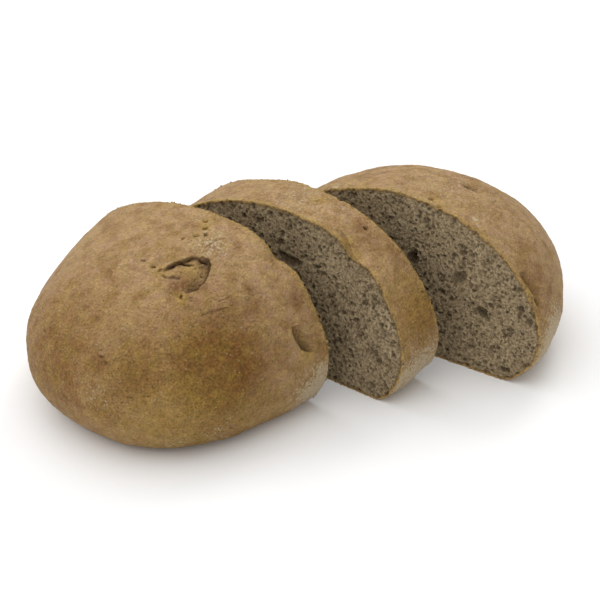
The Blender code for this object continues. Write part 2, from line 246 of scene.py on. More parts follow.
def line_place(points, normals, line):
    """Distance from a line on the skin, whether it is on its right, and a strength that fades at its ends."""
    line = np.array(line)
    lengths = np.linalg.norm(np.diff(line, axis=0), axis=1)
    nearest = np.full(len(points), np.inf)
    on_right = np.zeros(len(points), dtype=bool)
    share = np.zeros(len(points))
    best = np.full(len(points), np.inf)
    done = 0.0
    for start, end, length in zip(line, line[1:], lengths):
        way = along_skin(np.tile(end - start, (len(points), 1)), normals)
        offset = along_skin(points - start, normals)
        reach = np.clip((offset * way).sum(axis=1) / (way ** 2).sum(axis=1), 0.0, 1.0)
        offset -= reach[:, None] * way
        distance = np.linalg.norm(offset, axis=1)
        left = (np.cross(way, offset) * normals).sum(axis=1) / length
        score = distance - SQUARE_BIAS * np.abs(left)
        nearer = score < best
        best[nearer] = score[nearer]
        nearest[nearer] = distance[nearer]
        on_right[nearer] = left[nearer] < 0.0
        share[nearer] = ((done + reach * length) / lengths.sum())[nearer]
        done += length
    taper = np.clip(np.minimum(share, 1.0 - share) / LINE_TAPER, 0.0, 1.0)
    return nearest, on_right, np.sqrt(taper)


def fold_depth(points, normals, line, step, runout, depth, lip):
    """Depth of one fold: on its line's right a step down that runs out further on, on its left a lip."""
    distance, on_right, taper = line_place(points, normals, line)
    low = depth * np.clip(distance / step, 0.0, 1.0) * np.exp(-(distance / runout) ** 2)
    high = lip * np.clip(distance / step, 0.0, 1.0) * np.exp(-(distance / (2 * step)) ** 2)
    return np.where(on_right, low, -high) * taper


def mark_depth(points):
    """Depth of all dents, cracks and folds at points of the skin."""
    normals = outward(points)
    depth = np.zeros(len(points))
    for dent in DENTS.values():
        depth += dent_depth(points, normals, *dent)
    for fold in FOLDS.values():
        depth += fold_depth(points, normals, *fold)
    for line, half_width, deep in CRACKS.values():
        distance, _, taper = line_place(points, normals, line)
        depth += deep * taper * np.exp(-(distance / half_width) ** 2)
    return depth


def near_marks(points, reach):
    """Whether each point is within reach of a dent, crack or fold."""
    normals = outward(points)
    near = np.zeros(len(points), dtype=bool)
    for centre, _, half_length, _, _ in DENTS.values():
        near |= np.linalg.norm(points - centre, axis=1) < half_length + reach
    for line, *_ in [*CRACKS.values(), *FOLDS.values()]:
        near |= line_place(points, normals, line)[0] < reach
    return near


def swollen_dough(directions):
    points = dough_skin(directions)
    return points + swelling(points)[:, None] * outward(points)


def baked_skin(directions):
    """Points of the crust, with swellings, marks and grain, for directions from the middle."""
    points = swollen_dough(directions)
    underside = dough_skin(directions)[:, 2] <= 0.0
    height = -mark_depth(points)
    for length, rise in (CRUST_LUMPS, CRUST_GRAIN):
        height += rise * unevenness(points, length, 2)
    points = points + height[:, None] * outward(points)
    points[underside, 2] = 0.0
    points[:, 2] = np.maximum(points[:, 2], 0.0)
    return points


def all_directions(shape):
    return np.array([vert.co.normalized() for vert in shape.verts])


def bake_loaf():
    """The uncut loaf: a cube's cells spread over a ball, halved round the marks, and set on the crust."""
    shape = bmesh.new()
    bmesh.ops.create_cube(shape, size=2.0)
    bmesh.ops.subdivide_edges(shape, edges=shape.edges[:], cuts=DOUGH_CELLS - 1, use_grid_fill=True)
    for vert in shape.verts:
        vert.co = Vector(math.tan(math.pi / 4 * value) for value in vert.co).normalized()
    for reach in MARK_REACHES:
        shape.verts.index_update()
        near = near_marks(swollen_dough(all_directions(shape)), reach)
        edges = [edge for edge in shape.edges if all(near[vert.index] for vert in edge.verts)]
        bmesh.ops.subdivide_edges(shape, edges=edges, cuts=1, use_grid_fill=True)
    skin = baked_skin(all_directions(shape))
    for vert, place in zip(shape.verts, skin):
        vert.co = place
    return shape


# Finishes: the same specks of flour and bran show on crust and crumb, and both have a fine grain.
# A speck mask is a cell pattern whose cells are mostly blank, and the grain is two sizes of noise.


def node(tree, kind, **settings):
    item = tree.nodes.new(kind)
    for key, value in settings.items():
        setattr(item, key, value)
    return item


def feed(tree, socket, value):
    """Give a socket a constant or another node's output."""
    if isinstance(value, bpy.types.NodeSocket):
        tree.links.new(value, socket)
    else:
        socket.default_value = value


def own_place(tree):
    return node(tree, "ShaderNodeTexCoord").outputs["Object"]


def attribute(tree, name):
    return node(tree, "ShaderNodeAttribute", attribute_name=name).outputs["Fac"]


def blotches(tree, size, detail=2.0, shift=(0.0, 0.0, 0.0), stretch=(1.0, 1.0, 1.0)):
    """Noise from 0 to 1 in the object's own metres, with blotches of about the given size."""
    mapping = node(tree, "ShaderNodeMapping")
    feed(tree, mapping.inputs["Vector"], own_place(tree))
    mapping.inputs["Location"].default_value = shift
    mapping.inputs["Scale"].default_value = stretch
    pattern = node(tree, "ShaderNodeTexNoise")
    feed(tree, pattern.inputs["Vector"], mapping.outputs["Vector"])
    pattern.inputs["Scale"].default_value = 1.0 / size
    pattern.inputs["Detail"].default_value = detail
    pattern.inputs["Roughness"].default_value = 0.6
    return pattern.outputs["Fac"]


def between(tree, value, low, high, to_low=0.0, to_high=1.0):
    """Map a value's range onto another one, and clip it there."""
    ramp = node(tree, "ShaderNodeMapRange", clamp=True)
    feed(tree, ramp.inputs["Value"], value)
    for name, number in (("From Min", low), ("From Max", high), ("To Min", to_low), ("To Max", to_high)):
        feed(tree, ramp.inputs[name], number)
    return ramp.outputs["Result"]


def calc(tree, first, second, operation="MULTIPLY"):
    """Work out the product of two values, or what another operation makes of them."""
    item = node(tree, "ShaderNodeMath", operation=operation)
    feed(tree, item.inputs[0], first)
    feed(tree, item.inputs[1], second)
    return item.outputs[0]


def blend(tree, share, first, second, mode="MIX"):
    mix = node(tree, "ShaderNodeMix", data_type="RGBA", blend_type=mode)
    feed(tree, mix.inputs["Factor"], share)
    for socket, colour in ((mix.inputs[6], first), (mix.inputs[7], second)):
        feed(tree, socket, colour if isinstance(colour, bpy.types.NodeSocket) else (*colour, 1.0))
    return mix.outputs[2]


def new_group(name, inputs, outputs):
    """An empty node group with the named sockets for numbers, and the nodes at its two ends."""
    group = bpy.data.node_groups.new(name, "ShaderNodeTree")
    for way, names in (("INPUT", inputs), ("OUTPUT", outputs)):
        for socket in names:
            group.interface.new_socket(socket, in_out=way, socket_type="NodeSocketFloat")
    return group, node(group, "NodeGroupInput"), node(group, "NodeGroupOutput")


def speck_group():
    """Scattered specks: a cell pattern in which only cells under a chosen share carry a speck."""
    group, entry, leave = new_group("bread specks", ("Size", "Share"), ("Mask",))
    cells = node(group, "ShaderNodeTexVoronoi")
    feed(group, cells.inputs["Vector"], own_place(group))
    feed(group, cells.inputs["Scale"], calc(group, 1.0, entry.outputs["Size"], "DIVIDE"))
    chosen = calc(group, cells.outputs["Color"], entry.outputs["Share"], "LESS_THAN")
    near = between(group, cells.outputs["Distance"], 0.5, 0.15)
    feed(group, leave.inputs["Mask"], calc(group, chosen, near))
    return group


def pore_group():
    """Small round pores of uneven size, bent a little by noise, and the walls round them."""
    group, entry, leave = new_group("bread pores", ("Size", "Openness"), ("Mask", "Wall"))
    place = own_place(group)
    scale = calc(group, 1.0, entry.outputs["Size"], "DIVIDE")
    bend = node(group, "ShaderNodeTexNoise")
    feed(group, bend.inputs["Vector"], place)
    feed(group, bend.inputs["Scale"], scale)
    push = node(group, "ShaderNodeVectorMath", operation="SCALE")
    feed(group, push.inputs[0], bend.outputs["Color"])
    feed(group, push.inputs["Scale"], calc(group, entry.outputs["Size"], 0.5))
    bent = node(group, "ShaderNodeVectorMath", operation="ADD")
    feed(group, bent.inputs[0], place)
    feed(group, bent.inputs[1], push.outputs["Vector"])
    cells = node(group, "ShaderNodeTexVoronoi")
    feed(group, cells.inputs["Vector"], bent.outputs["Vector"])
    feed(group, cells.inputs["Scale"], scale)
    uneven_size = between(group, cells.outputs["Color"], 0.0, 1.0, 0.1, 0.62)
    radius = calc(group, uneven_size, entry.outputs["Openness"])
    inside = calc(group, radius, cells.outputs["Distance"], "SUBTRACT")
    feed(group, leave.inputs["Mask"], between(group, inside, -0.04, 0.14))
    feed(group, leave.inputs["Wall"], between(group, inside, -0.18, -0.05))
    return group


def grain_group():
    """Fine grain as a height: noise of a coarse and a fine size, and how strongly the fine one shows."""
    group, entry, leave = new_group("bread grain", ("Coarse", "Fine", "Share"), ("Height",))
    heights = []
    for name in ("Coarse", "Fine"):
        pattern = node(group, "ShaderNodeTexNoise")
        feed(group, pattern.inputs["Vector"], own_place(group))
        feed(group, pattern.inputs["Scale"], calc(group, 1.0, entry.outputs[name], "DIVIDE"))
        pattern.inputs["Detail"].default_value = 3.0
        heights.append(pattern.outputs["Fac"])
    fine = calc(group, heights[1], entry.outputs["Share"])
    feed(group, leave.inputs["Height"], calc(group, heights[0], fine, "ADD"))
    return group


specks = speck_group()
pores = pore_group()
grain = grain_group()


def use_group(tree, group, **values):
    """Use a node group in a tree, with values for its inputs, and return its outputs."""
    item = node(tree, "ShaderNodeGroup", node_tree=group)
    for name, value in values.items():
        feed(tree, item.inputs[name], value)
    return item.outputs


MATT_SHINE = 0.12


def finish_material(name, colour, roughness, height, bump_strength, bump_distance):
    """A matt baked material from the colour, roughness and height that its tree works out."""
    material = bpy.data.materials.new(name)
    material.use_nodes = True
    tree = material.node_tree
    shader = tree.nodes["Principled BSDF"]
    feed(tree, shader.inputs["Base Color"], colour(tree))
    feed(tree, shader.inputs["Roughness"], roughness(tree))
    shader.inputs["Specular IOR Level"].default_value = MATT_SHINE
    bump = node(tree, "ShaderNodeBump")
    bump.inputs["Strength"].default_value = bump_strength
    bump.inputs["Distance"].default_value = bump_distance
    feed(tree, bump.inputs["Height"], height(tree))
    feed(tree, shader.inputs["Normal"], bump.outputs["Normal"])
    return material


# The crust's colours: baked-on flour pales and greys it, and a painted sheen for the light glancing off
# the crust is laid into that dusty colour; where the flour is rubbed off, and the painted sheen with it, it
# is a deep golden brown, redder where the oven caught it. White flour stays in patches low on the sides,
# and torn places and cut rims show a yellower gold.
CRUST_GOLD = (0.268, 0.152, 0.026)
CRUST_BROWN = (0.226, 0.1, 0.022)
CRUST_RED = (0.19, 0.082, 0.026)
# The two dusty colours hold a painted sheen: they are paler and greyer than the dust alone, for light
# glancing off the crust
CRUST_DUST_AND_SHEEN = (0.492, 0.322, 0.142)
CRUST_PINK_DUST_AND_SHEEN = (0.484, 0.304, 0.162)
# Dark bran specks, and the painted shade in cracks, dents and folds
CRUST_BRAN_AND_SHADE = (0.045, 0.018, 0.007)
TORN_GOLD = (0.48, 0.31, 0.088)
FLOUR_WHITE = (0.6, 0.495, 0.335)
# Centre, spread and strength of each place
FLOURED = {
    "left end": ((-0.1085, -0.013, 0.033), 0.008, 0.42),
    "left end, low": ((-0.1075, -0.021, 0.022), 0.007, 0.3),
    "foot of the left heel": ((-0.093, -0.039, 0.01), 0.01, 0.45),
    "front foot": ((-0.078, -0.052, 0.011), 0.0085, 0.48),
    "over the tear": ((-0.042, -0.0205, 0.0738), 0.009, 0.6),
    "top of the left heel": ((-0.06, 0.005, 0.072), 0.02, 0.28),
    "top of the slice": ((-0.013, -0.005, 0.08), 0.024, 0.42),
    "top of the right heel": ((0.02, -0.01, 0.078), 0.026, 0.4),
    "first cut's foot": ((-0.03, -0.069, 0.012), 0.012, 0.95),
    "first cut's side": ((-0.029, -0.0705, 0.022), 0.006, 0.75),
    "foot of the slice": ((-0.0109, -0.07, 0.011), 0.014, 1.0),
    "foot of the right heel": ((0.015, -0.069, 0.016), 0.015, 1.1),
    "far top of the right heel": ((0.001, 0.037, 0.0725), 0.0035, 0.7),
    "fleck on the right heel": ((0.0064, -0.0338, 0.0736), 0.0013, 1.0),
    "second fleck": ((0.0036, -0.0368, 0.0723), 0.0007, 1.0),
}
# Places rubbed bare of flour, where the painted sheen in the dusty colour is left out too: centre, spread and
# strength
RUBBED_WITHOUT_SHEEN = {
    "front": ((-0.078, -0.049, 0.04), 0.017, 1.4),
    "low front": ((-0.068, -0.062, 0.021), 0.014, 0.5),
    "left of its front": ((-0.098, -0.028, 0.043), 0.013, 0.9),
    "left end": ((-0.105, 0.012, 0.038), 0.024, 0.75),
    "whole front": ((-0.085, -0.049, 0.022), 0.024, 0.75),
    "side of the slice": ((-0.01, -0.068, 0.042), 0.012, 0.85),
    "side of the right heel": ((0.018, -0.065, 0.043), 0.013, 0.25),
    "under the flour": ((-0.108, -0.018, 0.027), 0.008, 0.8),
}
REDDENED = {
    "bowl of the tear": ((-0.064, -0.0235, 0.0672), 0.0028, 0.7),
    "under the tear": ((-0.0672, -0.0215, 0.0662), 0.003, 0.9),
    "swirl beside the tear": ((-0.0475, -0.044, 0.0632), 0.0022, 0.8),
    "over the fold": ((-0.0322, -0.0572, 0.0552), 0.003, 1.0),
    "front": ((-0.072, -0.049, 0.048), 0.014, 0.5),
    "over the flour": ((-0.1035, -0.025, 0.039), 0.007, 0.65),
    "slit on the left end": ((-0.1045, -0.0115, 0.043), 0.003, 0.8),
    "top of the slice": ((-0.0145, -0.039, 0.0712), 0.0045, 0.75),
    "beside the slice's hole": ((-0.0085, -0.0355, 0.0728), 0.0025, 0.6),
    "slice's rim": ((-0.004, -0.05, 0.064), 0.005, 0.6),
    "beside the fold": ((0.012, -0.064, 0.052), 0.007, 0.6),
    "beside the heel's blister": ((0.008, -0.015, 0.0792), 0.0025, 0.6),
}
GOLDEN = {
    "first blister": ((-0.0318, -0.01, 0.0778), 0.0018, 0.9),
    "second blister": ((-0.0352, -0.0122, 0.0769), 0.0016, 0.9),
    "third blister": ((-0.0392, -0.0142, 0.0759), 0.0016, 0.7),
    "fourth blister": ((-0.0413, -0.0125, 0.0757), 0.002, 0.9),
    "tail of the tear": ((-0.0698, -0.0262, 0.064), 0.0022, 0.7),
    "floor of the tear": ((-0.056, -0.021, 0.07), 0.0035, 0.7),
    "start of the tear": ((-0.065, -0.012, 0.069), 0.0022, 0.6),
    "blister on the slice": ((-0.0093, -0.0124, 0.0798), 0.0026, 0.9),
    "torn rim of the slice": ((-0.0235, -0.037, 0.0708), 0.0035, 1.0),
    "lower torn rim": ((-0.0247, -0.043, 0.0675), 0.0025, 1.0),
    "blister on the right heel": ((0.004, -0.014, 0.0798), 0.0028, 1.0),
    "notch of the right heel": ((0.0005, -0.019, 0.0789), 0.002, 0.9),
    "lip of the fold": ((0.0012, -0.064, 0.05), 0.0024, 0.9),
    "lower lip of the fold": ((0.0018, -0.0674, 0.0438), 0.0022, 0.9),
    "under the fold": ((-0.0375, -0.0685, 0.0345), 0.003, 0.8),
    "side of the slice": ((-0.01, -0.066, 0.046), 0.011, 0.28),
    "low on the left": ((-0.096, -0.038, 0.021), 0.019, 0.5),
    "low on the front": ((-0.064, -0.064, 0.01), 0.012, 0.3),
}
# How wide and strong the gold beside a cut is
RIM_GOLD_WIDTH = 0.0018
RIM_GOLD = 0.5


def crust_colour(tree):
    # Where the flour and its painted sheen are rubbed off: gold and brown blotches with redder streaks
    golden = between(tree, blotches(tree, 0.007, 6.0), 0.44, 0.56)
    rubbed = blend(tree, golden, CRUST_GOLD, CRUST_BROWN)
    streaks = between(tree, blotches(tree, 0.009, 4.0, (0.3, 0.1, 0.2)), 0.54, 0.72, 0.0, 0.6)
    rubbed = blend(tree, streaks, rubbed, CRUST_RED)
    # Where it is dusty, with a painted sheen laid into the dust colour: tan and pinkish, and thinner in
    # places
    pink = between(tree, blotches(tree, 0.005, 5.0, (0.4, 0.2, 0.9)), 0.44, 0.58)
    dust_and_sheen = blend(tree, pink, CRUST_DUST_AND_SHEEN, CRUST_PINK_DUST_AND_SHEEN)
    thin = between(tree, blotches(tree, 0.007, 6.0, (0.1, 0.5, 0.7)), 0.36, 0.56, 0.45, 1.0)
    base = blend(tree, calc(tree, attribute(tree, "dust_and_sheen"), thin), rubbed, dust_and_sheen)
    # Places that are redder, and torn places
    red = calc(tree, attribute(tree, "reddened"), between(tree, blotches(tree, 0.005, 4.0), 0.25, 0.55))
    base = blend(tree, red, base, CRUST_RED)
    base = blend(tree, attribute(tree, "golden"), base, TORN_GOLD)
    # Lighter and darker mottling, weaker under the dust and its painted sheen
    cloud = between(tree, blotches(tree, 0.0034, 6.0, (0.7, 0.3, 0.5)), 0.34, 0.66, 0.82, 1.18)
    mottle = calc(tree, between(tree, blotches(tree, 0.001, 4.0), 0.32, 0.68, 0.62, 1.36), cloud)
    mottle_colour = node(tree, "ShaderNodeCombineColor")
    for name in ("Red", "Green", "Blue"):
        feed(tree, mottle_colour.inputs[name], mottle)
    plain = calc(tree, 1.0, calc(tree, attribute(tree, "dust_and_sheen"), 0.5), "SUBTRACT")
    base = blend(tree, plain, base, mottle_colour.outputs["Color"], "MULTIPLY")
    # Specks of bran and flour, floured places, and painted shade in cracks, dents and on the low side of
    # folds
    for size, share, strength, colour in ((0.0012, 0.2, 0.45, CRUST_BRAN_AND_SHADE), (0.001, 0.16, 0.4, FLOUR_WHITE)):
        speck = use_group(tree, specks, Size=size, Share=share)["Mask"]
        base = blend(tree, calc(tree, speck, strength), base, colour)
    dust = calc(tree, blotches(tree, 0.0011, 6.0), calc(tree, attribute(tree, "floured"), 0.42), "ADD")
    base = blend(tree, between(tree, dust, 0.7, 0.84, 0.0, 0.9), base, FLOUR_WHITE)
    # Painted shade: cracks, dents and the low sides of folds are darkened in the colour
    return blend(tree, attribute(tree, "painted_shade"), base, CRUST_BRAN_AND_SHADE)


def crust_roughness(tree):
    return between(tree, attribute(tree, "floured"), 0.0, 1.0, 0.58, 0.95)


def crust_height(tree):
    wrinkles = blotches(tree, 0.0036, 6.0, (0.2, 0.6, 0.1), (1.0, 0.5, 1.3))
    creases = blotches(tree, 0.0017, 5.0, (0.5, 0.1, 0.3), (1.0, 0.45, 1.4))
    uneven = calc(tree, calc(tree, wrinkles, 2.2), calc(tree, creases, 1.1), "ADD")
    fine_grain = use_group(tree, grain, Coarse=0.0014, Fine=0.0006, Share=0.5)["Height"]
    return calc(tree, fine_grain, uneven, "ADD")


crust = finish_material("rye_crust", crust_colour, crust_roughness, crust_height, 1.0, 0.0015)

# The crumb: close, moist grey-brown rye crumb, torn rather than cut clean, full of small uneven pores
# with a few large ones, and a brown rind where it meets the crust. The pores are pits in the cut
# faces, laid out by a seeded rule, and the large ones are the same as in the solids.
CRUMB_GREY = (0.214, 0.153, 0.085)
CRUMB_LIGHT = (0.5, 0.388, 0.232)
CRUMB_WALL = (0.56, 0.443, 0.275)
# Painted shade inside the small pores and deep in the pits
CRUMB_PORE_SHADE = (0.078, 0.055, 0.031)
BRAN_PALE = (0.56, 0.46, 0.3)
RIND_BROWN = (0.2, 0.115, 0.042)
RIND_GOLD = (0.5, 0.325, 0.115)
# Depth under the crust is told up to this one
RIND_DEEPEST = 0.006
# Paler, rougher places of the crumb, and painted light high on the cut faces: centre, spread and strength
PALE_AND_LIT_CRUMB = {
    "torn band": ((-0.0256, -0.026, 0.06), 0.0085, 0.55),
    "first lump": ((-0.0256, -0.0325, 0.0358), 0.0019, 1.0),
    "second lump": ((-0.0256, -0.0375, 0.0346), 0.0017, 0.9),
    "third lump": ((-0.0256, -0.0437, 0.033), 0.0016, 1.0),
    "side of the crack": ((-0.0256, -0.06, 0.043), 0.0035, 0.5),
    # Painted light: the crumb high on the cut faces of the slice and the right heel is made paler for the
    # light falling there
    "top of the slice": ((-0.0256, -0.005, 0.064), 0.015, 0.2),
    "top of the right heel": ((-0.0008, -0.015, 0.062), 0.018, 0.3),
}
# Where the cuts go through X, and each cut's large pores: place along Y, height, half width, half height,
# depth and tilt in degrees
FIRST_CUT = -0.0256
SECOND_CUT = -0.0008
FIRST_CUT_PORES = (
    (-0.0094, 0.0548, 0.0062, 0.0027, 0.0026, -12),
    (-0.0052, 0.0566, 0.0026, 0.0019, 0.0038, 0),
    (-0.0092, 0.072, 0.0016, 0.0013, 0.0018, 0),
    (-0.0495, 0.0478, 0.0014, 0.001, 0.0018, 40),
    (-0.0552, 0.0468, 0.005, 0.0006, 0.0016, 65),
    (-0.059, 0.0398, 0.0038, 0.0006, 0.0016, 56),
    (-0.0565, 0.0238, 0.0018, 0.001, 0.0016, 60),
)
SECOND_CUT_PORES = (
    (-0.0437, 0.0322, 0.0032, 0.0024, 0.004, 25),
    (-0.0072, 0.0485, 0.0034, 0.0031, 0.004, 0),
    (-0.0312, 0.0462, 0.0045, 0.0028, 0.0016, -35),
    (-0.0228, 0.0362, 0.002, 0.0016, 0.0022, 0),
    (-0.0628, 0.0399, 0.0017, 0.0017, 0.0024, 0),
    (-0.0573, 0.006, 0.003, 0.0012, 0.0024, 5),
    (-0.0325, 0.0593, 0.0026, 0.0012, 0.0018, -30),
)
# Share of a square millimetre, smallest and largest radius, and depth as a share of the radius
PORE_SIZES = (
    (0.075, 0.0005, 0.0008, 1.2),
    (0.022, 0.0008, 0.0012, 1.1),
    (0.002, 0.0012, 0.0018, 0.9),
)
# Noise that bends the pores' outlines: length and push
PORE_WARP = (0.0014, 0.0005)
# Pores and roughness fade out over the dense crumb beside the crust, small pores stop short of it
DENSE_RIM = 0.0022
PORELESS_SHARE = 0.4
PIT_RUNOUT = 0.0006
# Roughness, waves and the rim's burr: length and height
CRUMB_ROUGHNESS = (0.0013, 0.00022)
CRUMB_WAVES = (0.006, 0.00035)
RIM_BURR = (0.0015, 0.0005)


def hatch(shape, face, spacing):
    """Cut a flat cut face into a fine grid, by planes along Z and then along Y that each cut what is left."""
    rest = [face]
    for axis, normal in ((2, Vector((0, 0, 1))), (1, Vector((0, 1, 0)))):
        cells = []
        low = min(vert.co[axis] for item in rest for vert in item.verts)
        high = max(vert.co[axis] for item in rest for vert in item.verts)
        for step in range(1, math.ceil((high - low) / spacing)):
            place = low + step * spacing
            edges = {edge for item in rest for edge in item.edges}
            verts = {vert for item in rest for vert in item.verts}
            cut = bmesh.ops.bisect_plane(shape, geom=[*verts, *edges, *rest], dist=1e-7,
                                         plane_co=normal * place, plane_no=normal)
            rest = []
            for item in cut["geom"]:
                if isinstance(item, bmesh.types.BMFace):
                    over = max(item.verts, key=lambda vert: abs(vert.co[axis] - place)).co[axis] > place
                    (rest if over else cells).append(item)
        rest = cells + rest
    return rest


def cut_through(shape, place, keep_side, spacing):
    """Cut the loaf across X, close it with a face of crumb and hatch that face apart from the rest."""
    geometry = shape.verts[:] + shape.edges[:] + shape.faces[:]
    cut = bmesh.ops.bisect_plane(shape, geom=geometry, dist=1e-6, plane_co=(place, 0, 0),
                                 plane_no=(-keep_side, 0, 0), clear_outer=True)
    rim = [item for item in cut["geom_cut"] if isinstance(item, bmesh.types.BMEdge)]
    face = bmesh.ops.contextual_create(shape, geom=rim)["faces"][0]
    face.material_index = 1
    shape.faces.index_update()
    beside_rim = {item.index for edge in rim for item in edge.link_faces}
    apart = shape.copy()
    for part, others in ((apart, False), (shape, True)):
        doomed = [item for item in part.faces if (item.index in beside_rim) is others]
        bmesh.ops.delete(part, geom=doomed, context="FACES")
    hatch(apart, next(item for item in apart.faces if item.material_index == 1), spacing)
    hatched = bpy.data.meshes.new("hatched")
    apart.to_mesh(hatched)
    apart.free()
    shape.from_mesh(hatched)
    bpy.data.meshes.remove(hatched)
    bmesh.ops.remove_doubles(shape, verts=shape.verts[:], dist=1e-7)


def mesh_points(mesh):
    points = np.empty(len(mesh.vertices) * 3)
    mesh.vertices.foreach_get("co", points)
    return points.reshape(-1, 3)


def search_tree(points):
    tree = kdtree.KDTree(len(points))
    for row, point in enumerate(points):
        tree.insert(Vector(point), row)
    tree.balance()
    return tree


def pit_crumb(mesh, place, inward, large_pores, seed):
    """Sink pores into one cut face, inward along X. Returns each point's pore depth and way to the crust."""
    points = mesh_points(mesh)
    on_crumb = np.zeros(len(points), dtype=bool)
    on_crust = np.zeros(len(points), dtype=bool)
    for polygon in mesh.polygons:
        if polygon.material_index == 1 and abs(polygon.center.x - place) < 1e-5:
            on_crumb[list(polygon.vertices)] = True
        elif polygon.material_index == 0:
            on_crust[list(polygon.vertices)] = True
    crumb = np.flatnonzero(on_crumb)
    rim_tree = search_tree(points[on_crumb & on_crust])
    way_in = np.array([rim_tree.find(Vector(point))[2] for point in points[crumb]])

    # Shift the face's points along the face, on each cut in its own way, so that no pore is a true ellipse
    warped = points[crumb]
    shift = Vector((place * 40, 0.0, 0.0))
    for row in range(len(warped)):
        push = noise.noise_vector(Vector(warped[row]) / PORE_WARP[0] + shift) * PORE_WARP[1]
        warped[row, 1] += push.y
        warped[row, 2] += push.z
    place_tree = search_tree(warped * (0.0, 1.0, 1.0))
    low, high = warped[:, 1:].min(axis=0), warped[:, 1:].max(axis=0)
    draws = np.random.default_rng(seed)
    pores = [(pore, 1.0) for pore in large_pores]
    for share, smallest, largest, deepness in PORE_SIZES:
        number = int(share * (high - low).prod() * 1e6)
        for _ in range(number):
            centre = draws.uniform(low, high)
            radius = draws.uniform(smallest, largest)
            longer = draws.uniform(1.0, 1.5)
            pores.append(((*centre, radius * longer, radius, radius * deepness, draws.uniform(0, 180)), 0.0))
    depth = np.zeros(len(crumb))
    for (along_y, height, half_width, half_height, deep, tilt), is_large in pores:
        turn = math.radians(tilt)
        reach = max(half_width, half_height)
        for spot, row, _ in place_tree.find_range((0.0, along_y, height), reach):
            right, up = spot.y - along_y, spot.z - height
            across = (right * math.cos(turn) + up * math.sin(turn)) / half_width
            upward = (up * math.cos(turn) - right * math.sin(turn)) / half_height
            inside = 1.0 - across ** 2 - upward ** 2
            if inside > 0.0 and (is_large or way_in[row] > DENSE_RIM * PORELESS_SHARE):
                depth[row] = max(depth[row], deep * math.sqrt(inside))
    fade = np.clip(way_in / DENSE_RIM, 0.0, 1.0)
    rough, waves, burr = [height * unevenness(points[crumb], length, 2)
                          for length, height in (CRUMB_ROUGHNESS, CRUMB_WAVES, RIM_BURR)]
    pits = depth * np.clip(way_in / PIT_RUNOUT, 0.0, 1.0)
    points[crumb, 0] += inward * (pits + (rough + waves) * fade + burr * (1.0 - fade))
    mesh.vertices.foreach_set("co", points.ravel())
    pore = np.zeros(len(points))
    pore[crumb] = depth
    rind = np.full(len(points), RIND_DEEPEST)
    rind[crumb] = np.minimum(way_in, RIND_DEEPEST)
    return pore, rind


def crumb_pores(tree):
    """Where the small pores are, and where their walls are: a finer and a coarser set."""
    fine = use_group(tree, pores, Size=0.0013, Openness=0.76)
    coarse = use_group(tree, pores, Size=0.0028, Openness=0.66)
    pore = calc(tree, calc(tree, fine["Mask"], 0.6), coarse["Mask"], "MAXIMUM")
    return pore, calc(tree, fine["Wall"], coarse["Wall"], "MAXIMUM")


def crumb_colour(tree):
    # Mottled grey-brown, paler in pale places and in the painted light high on the cut faces, with flecks of
    # bran
    pale_and_lit = attribute(tree, "pale_and_lit")
    light = calc(tree, between(tree, blotches(tree, 0.0013, 6.0), 0.38, 0.62), calc(tree, pale_and_lit, 0.45), "ADD")
    base = blend(tree, between(tree, light, 0.0, 1.2), CRUMB_GREY, CRUMB_LIGHT)
    base = blend(tree, between(tree, blotches(tree, 0.01), 0.35, 0.65, 0.0, 0.35), base, CRUMB_GREY)
    fleck_strength = between(tree, pale_and_lit, 0.0, 1.0, 0.35, 0.9)
    for size, share, strength in ((0.0009, 0.2, fleck_strength), (0.0018, 0.1, 0.6)):
        fleck = use_group(tree, specks, Size=size, Share=share)["Mask"]
        base = blend(tree, calc(tree, fleck, strength), base, BRAN_PALE)
    # Pale walls round small pores that are painted dark as shade, and painted shade deep in the pits
    pore, wall = crumb_pores(tree)
    wall = calc(tree, wall, between(tree, light, 0.3, 1.0, 0.0, 0.6))
    base = blend(tree, wall, base, CRUMB_WALL)
    base = blend(tree, calc(tree, pore, 0.72), base, CRUMB_PORE_SHADE)
    shade = between(tree, attribute(tree, "pore"), 0.0001, 0.0012, 0.0, 0.6)
    base = blend(tree, shade, base, CRUMB_PORE_SHADE)
    # The rind under the crust, of uneven depth
    uneven = between(tree, blotches(tree, 0.0022, 3.0), 0.3, 0.7, -0.0005, 0.0005)
    depth = calc(tree, attribute(tree, "rind"), uneven, "ADD")
    base = blend(tree, between(tree, depth, 0.0021, 0.0011, 0.0, 0.65), base, RIND_BROWN)
    return blend(tree, between(tree, depth, 0.001, 0.0003), base, RIND_GOLD)


def crumb_roughness(tree):
    return between(tree, blotches(tree, 0.001, 2.0), 0.3, 0.7, 0.85, 0.98)


def crumb_height(tree):
    fine_grain = use_group(tree, grain, Coarse=0.0012, Fine=0.0005, Share=0.7)["Height"]
    return calc(tree, fine_grain, crumb_pores(tree)[0], "SUBTRACT")


crumb = finish_material("rye_crumb", crumb_colour, crumb_roughness, crumb_height, 1.0, 0.0009)

